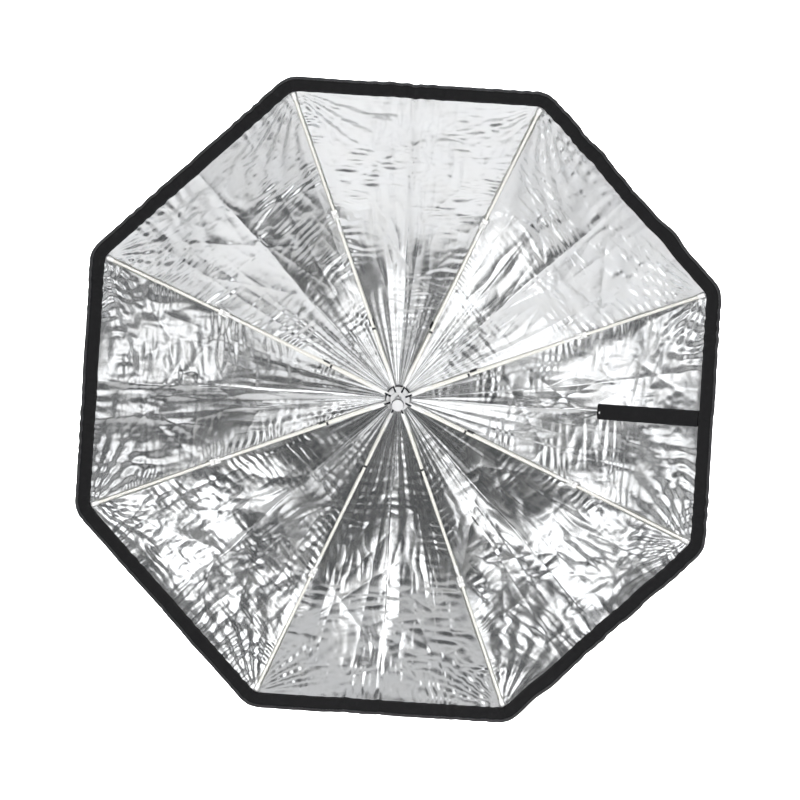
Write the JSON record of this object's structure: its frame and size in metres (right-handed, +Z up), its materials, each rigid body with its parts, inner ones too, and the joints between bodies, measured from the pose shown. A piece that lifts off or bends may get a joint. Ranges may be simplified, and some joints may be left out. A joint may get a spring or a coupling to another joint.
{
  "type": "octabox softbox",
  "caption": "Folding eight-sided umbrella softbox with a silver-lined canopy, hinged ribs and stretchers, a sliding runner and a hook-and-loop rim.",
  "frame": {"origin": "on the shaft's axis, where a bracket grips the shaft in front of the canopy", "axes": "-Y forwards out of the open face along the shaft, +Z up, the slit in the +X panel"},
  "size_m": [0.7402, 0.574, 0.7402],
  "materials": {
    "steel": "bright drawn steel",
    "black_plastic": "fine moulded grain",
    "grey_plastic": "light grey, fine moulded grain",
    "glass_fibre": "ivory pultruded rod",
    "white_plastic": "white moulded",
    "silver_fabric": "silver-coated nylon inside, black nylon outside",
    "black_tape": "hook-and-loop tape"
  },
  "bodies": {
    "shaft": {"shaft_tube": "steel", "shaft_end_cap": "grey_plastic", "runner_stop": "steel", "rear_ferrule": "black_plastic", "rear_patch": "black_plastic", "notch_hub": "grey_plastic", "hub_wire": "steel"},
    "runner_slider": {"runner": "grey_plastic", "runner_wire": "steel"},
    "catch": {"catch_spring": "steel"},
    "slit_door": {"slit_flap": "black_tape"},
    "rib_arm_1": {"rib_1": "glass_fibre", "rib_tip_1": "white_plastic", "rib_clip_1": "white_plastic", "canopy_gore_1": "silver_fabric", "rim_tape_1": "black_tape", "slit_tape": "black_tape"},
    "stretcher_arm_1": {"stretcher_1": "glass_fibre"},
    "rib_arm_2": {"rib_2": "glass_fibre", "rib_tip_2": "white_plastic", "rib_clip_2": "white_plastic", "canopy_gore_2": "silver_fabric", "rim_tape_2": "black_tape"},
    "stretcher_arm_2": {"stretcher_2": "glass_fibre"},
    "rib_arm_3": {"rib_3": "glass_fibre", "rib_tip_3": "white_plastic", "rib_clip_3": "white_plastic", "canopy_gore_3": "silver_fabric", "rim_tape_3": "black_tape"},
    "stretcher_arm_3": {"stretcher_3": "glass_fibre"},
    "rib_arm_4": {"rib_4": "glass_fibre", "rib_tip_4": "white_plastic", "rib_clip_4": "white_plastic", "canopy_gore_4": "silver_fabric", "rim_tape_4": "black_tape"},
    "stretcher_arm_4": {"stretcher_4": "glass_fibre"},
    "rib_arm_5": {"rib_5": "glass_fibre", "rib_tip_5": "white_plastic", "rib_clip_5": "white_plastic", "canopy_gore_5": "silver_fabric", "rim_tape_5": "black_tape"},
    "stretcher_arm_5": {"stretcher_5": "glass_fibre"},
    "rib_arm_6": {"rib_6": "glass_fibre", "rib_tip_6": "white_plastic", "rib_clip_6": "white_plastic", "canopy_gore_6": "silver_fabric", "rim_tape_6": "black_tape"},
    "stretcher_arm_6": {"stretcher_6": "glass_fibre"},
    "rib_arm_7": {"rib_7": "glass_fibre", "rib_tip_7": "white_plastic", "rib_clip_7": "white_plastic", "canopy_gore_7": "silver_fabric", "rim_tape_7": "black_tape"},
    "stretcher_arm_7": {"stretcher_7": "glass_fibre"},
    "rib_arm_8": {"rib_8": "glass_fibre", "rib_tip_8": "white_plastic", "rib_clip_8": "white_plastic", "canopy_gore_8": "silver_fabric", "rim_tape_8": "black_tape"},
    "stretcher_arm_8": {"stretcher_8": "glass_fibre"}
  },
  "joints": [
    {"name": "rib_fold_1", "type": "hinge", "parent": "shaft", "child": "rib_arm_1", "pos_m": [0.01016, 0.515, 0.00421], "axis": [0.3827, 0, -0.9239], "range_deg": [0, 61.5], "deforming": ["canopy_gore_1", "rim_tape_1", "slit_tape"]},
    {"name": "rib_fold_2", "type": "hinge", "parent": "shaft", "child": "rib_arm_2", "pos_m": [0.00421, 0.515, 0.01016], "axis": [0.9239, 0, -0.3827], "range_deg": [0, 61.5], "deforming": ["canopy_gore_2", "rim_tape_2"]},
    {"name": "rib_fold_3", "type": "hinge", "parent": "shaft", "child": "rib_arm_3", "pos_m": [-0.00421, 0.515, 0.01016], "axis": [0.9239, 0, 0.3827], "range_deg": [0, 61.5], "deforming": ["canopy_gore_3", "rim_tape_3"]},
    {"name": "rib_fold_4", "type": "hinge", "parent": "shaft", "child": "rib_arm_4", "pos_m": [-0.01016, 0.515, 0.00421], "axis": [0.3827, 0, 0.9239], "range_deg": [0, 61.5], "deforming": ["canopy_gore_4", "rim_tape_4"]},
    {"name": "rib_fold_5", "type": "hinge", "parent": "shaft", "child": "rib_arm_5", "pos_m": [-0.01016, 0.515, -0.00421], "axis": [-0.3827, 0, 0.9239], "range_deg": [0, 61.5], "deforming": ["canopy_gore_5", "rim_tape_5"]},
    {"name": "rib_fold_6", "type": "hinge", "parent": "shaft", "child": "rib_arm_6", "pos_m": [-0.00421, 0.515, -0.01016], "axis": [-0.9239, 0, 0.3827], "range_deg": [0, 61.5], "deforming": ["canopy_gore_6", "rim_tape_6"]},
    {"name": "rib_fold_7", "type": "hinge", "parent": "shaft", "child": "rib_arm_7", "pos_m": [0.00421, 0.515, -0.01016], "axis": [-0.9239, 0, -0.3827], "range_deg": [0, 61.5], "deforming": ["canopy_gore_7", "rim_tape_7"]},
    {"name": "rib_fold_8", "type": "hinge", "parent": "shaft", "child": "rib_arm_8", "pos_m": [0.01016, 0.515, -0.00421], "axis": [-0.3827, 0, -0.9239], "range_deg": [0, 61.5], "deforming": ["canopy_gore_8", "rim_tape_8", "slit_flap"]},
    {"name": "stretcher_pivot_1", "type": "hinge", "parent": "rib_arm_1", "child": "stretcher_arm_1", "pos_m": [0.21534, 0.43986, 0.08919], "axis": [-0.3827, 0, 0.9239], "range_deg": [0, 123]},
    {"name": "stretcher_pivot_2", "type": "hinge", "parent": "rib_arm_2", "child": "stretcher_arm_2", "pos_m": [0.08919, 0.43986, 0.21534], "axis": [-0.9239, 0, 0.3827], "range_deg": [0, 123]},
    {"name": "stretcher_pivot_3", "type": "hinge", "parent": "rib_arm_3", "child": "stretcher_arm_3", "pos_m": [-0.08919, 0.43986, 0.21534], "axis": [-0.9239, 0, -0.3827], "range_deg": [0, 123]},
    {"name": "stretcher_pivot_4", "type": "hinge", "parent": "rib_arm_4", "child": "stretcher_arm_4", "pos_m": [-0.21534, 0.43986, 0.08919], "axis": [-0.3827, 0, -0.9239], "range_deg": [0, 123]},
    {"name": "stretcher_pivot_5", "type": "hinge", "parent": "rib_arm_5", "child": "stretcher_arm_5", "pos_m": [-0.21534, 0.43986, -0.08919], "axis": [0.3827, 0, -0.9239], "range_deg": [0, 123]},
    {"name": "stretcher_pivot_6", "type": "hinge", "parent": "rib_arm_6", "child": "stretcher_arm_6", "pos_m": [-0.08919, 0.43986, -0.21534], "axis": [0.9239, 0, -0.3827], "range_deg": [0, 123]},
    {"name": "stretcher_pivot_7", "type": "hinge", "parent": "rib_arm_7", "child": "stretcher_arm_7", "pos_m": [0.08919, 0.43986, -0.21534], "axis": [0.9239, 0, 0.3827], "range_deg": [0, 123]},
    {"name": "stretcher_pivot_8", "type": "hinge", "parent": "rib_arm_8", "child": "stretcher_arm_8", "pos_m": [0.21534, 0.43986, -0.08919], "axis": [0.3827, 0, 0.9239], "range_deg": [0, 123]},
    {"name": "runner_slide", "type": "slide", "parent": "shaft", "child": "runner_slider", "axis": [0, -1, 0], "range_m": [0, 0.31176]},
    {"name": "catch_press", "type": "slide", "parent": "shaft", "child": "catch", "axis": [0, 0, -1], "range_m": [0, 0.0022], "stiffness_N_per_m": 1500},
    {"name": "slit_flap_hinge", "type": "hinge", "parent": "rib_arm_8", "child": "slit_door", "pos_m": [0.29679, 0.38703, -0.0095], "axis": [-0.8151, 0.5794, 0], "range_deg": [-100, 0]}
  ],
  "couplings": [
    {"joint": "rib_fold_2", "follows": "rib_fold_1", "ratio": 1},
    {"joint": "rib_fold_3", "follows": "rib_fold_1", "ratio": 1},
    {"joint": "rib_fold_4", "follows": "rib_fold_1", "ratio": 1},
    {"joint": "rib_fold_5", "follows": "rib_fold_1", "ratio": 1},
    {"joint": "rib_fold_6", "follows": "rib_fold_1", "ratio": 1},
    {"joint": "rib_fold_7", "follows": "rib_fold_1", "ratio": 1},
    {"joint": "rib_fold_8", "follows": "rib_fold_1", "ratio": 1},
    {"joint": "stretcher_pivot_1", "follows": "rib_fold_1", "ratio": 2},
    {"joint": "stretcher_pivot_2", "follows": "rib_fold_1", "ratio": 2},
    {"joint": "stretcher_pivot_3", "follows": "rib_fold_1", "ratio": 2},
    {"joint": "stretcher_pivot_4", "follows": "rib_fold_1", "ratio": 2},
    {"joint": "stretcher_pivot_5", "follows": "rib_fold_1", "ratio": 2},
    {"joint": "stretcher_pivot_6", "follows": "rib_fold_1", "ratio": 2},
    {"joint": "stretcher_pivot_7", "follows": "rib_fold_1", "ratio": 2},
    {"joint": "stretcher_pivot_8", "follows": "rib_fold_1", "ratio": 2},
    {"joint": "runner_slide", "follows": "rib_fold_1", "m_per_rad": 0.29045}
  ]
}
